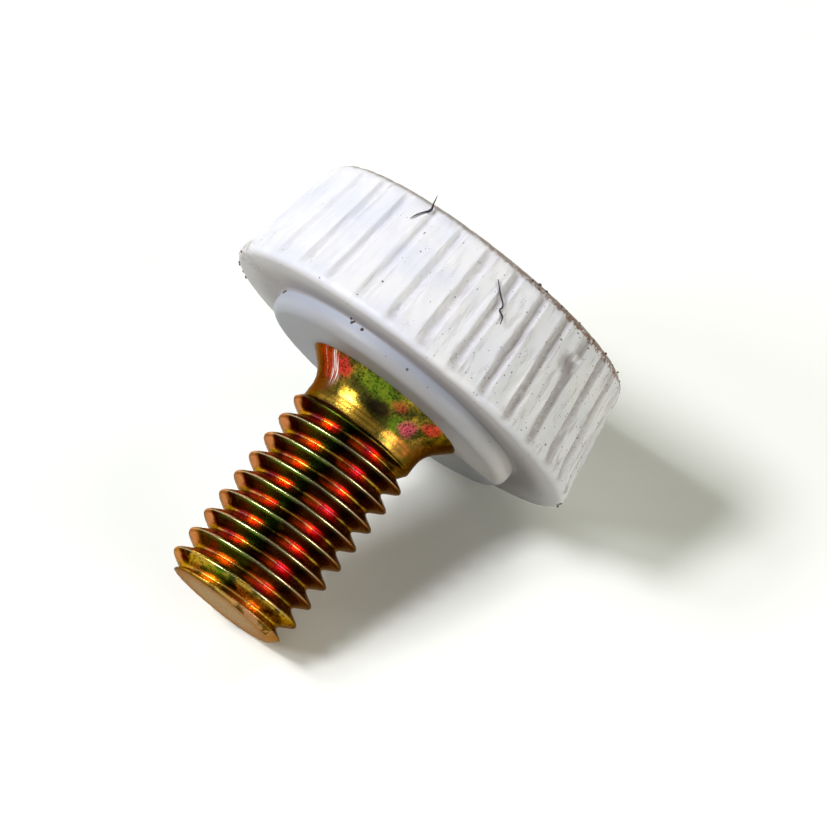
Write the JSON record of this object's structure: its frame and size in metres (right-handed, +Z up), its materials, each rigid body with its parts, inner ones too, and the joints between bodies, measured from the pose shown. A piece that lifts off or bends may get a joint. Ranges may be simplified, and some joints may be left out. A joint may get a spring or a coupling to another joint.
{
  "type": "knob",
  "caption": "Thumb knob: a white ribbed plastic grip moulded round the head of a yellow-plated countersunk machine screw.",
  "frame": {"origin": "on the surface that the knob lies on, under the middle of its box", "axes": "+Z up, with the knob lying on the rim of its grip and the end of its screw; the screw's axis lies in the XZ plane and its grip end points to +X and up"},
  "size_m": [0.0198, 0.0168, 0.0165],
  "materials": {
    "grip_plastic": "white moulded plastic, dusty, with grey dirt in its grooves and a brown line round its top edge",
    "plated_steel": "zinc plating with a yellow passivation that shimmers from gold to red and green"
  },
  "bodies": {
    "root": {"grip": "grip_plastic", "screw": "plated_steel"}
  },
  "joints": []
}
